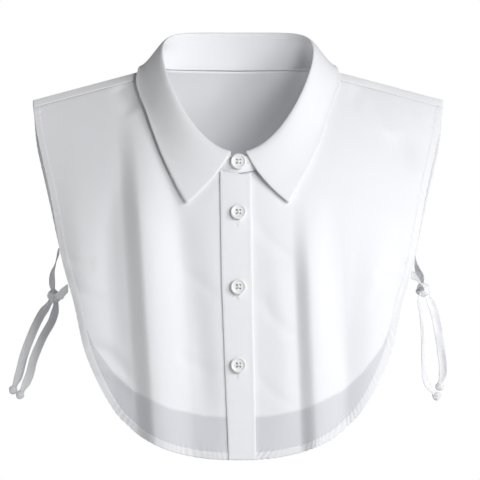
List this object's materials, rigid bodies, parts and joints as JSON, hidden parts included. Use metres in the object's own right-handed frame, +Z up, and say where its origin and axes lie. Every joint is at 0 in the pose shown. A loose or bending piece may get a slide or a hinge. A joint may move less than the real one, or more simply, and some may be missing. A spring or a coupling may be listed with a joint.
{
  "type": "dickey (false shirt collar and bib)",
  "caption": "White woven shirt-collar dickey, hollow as worn: pointed collar on a stand, buttoned placket, rounded front and back bibs, side ties.",
  "frame": {"origin": "middle of the neck, level with the collar seam at the shoulders", "axes": "+Z up, -Y the way the front faces, +X to the right of the front view"},
  "size_m": [0.3946, 0.1808, 0.3832],
  "materials": {
    "white_shirting": "thin white plain-woven cloth, slightly sheer, matt with a faint sheen",
    "button_white": "glossy white four-hole button"
  },
  "bodies": {
    "root": {"front_right": "white_shirting", "front_left": "white_shirting", "back": "white_shirting", "placket": "white_shirting", "collar_stand": "white_shirting", "collar_fall": "white_shirting", "button_1": "button_white", "button_2": "button_white", "button_3": "button_white", "button_4": "button_white", "tie_left_back_lead": "white_shirting", "tie_left_back_tail": "white_shirting", "tie_left_front_lead": "white_shirting", "tie_left_front_tail": "white_shirting", "tie_right_back_lead": "white_shirting", "tie_right_back_tail": "white_shirting", "tie_right_front_lead": "white_shirting", "tie_right_front_tail": "white_shirting", "tie_left_knot": "white_shirting", "tie_right_knot": "white_shirting", "tie_left_back_end_knot": "white_shirting", "tie_left_front_end_knot": "white_shirting", "tie_right_back_end_knot": "white_shirting", "tie_right_front_end_knot": "white_shirting"}
  },
  "joints": []
}
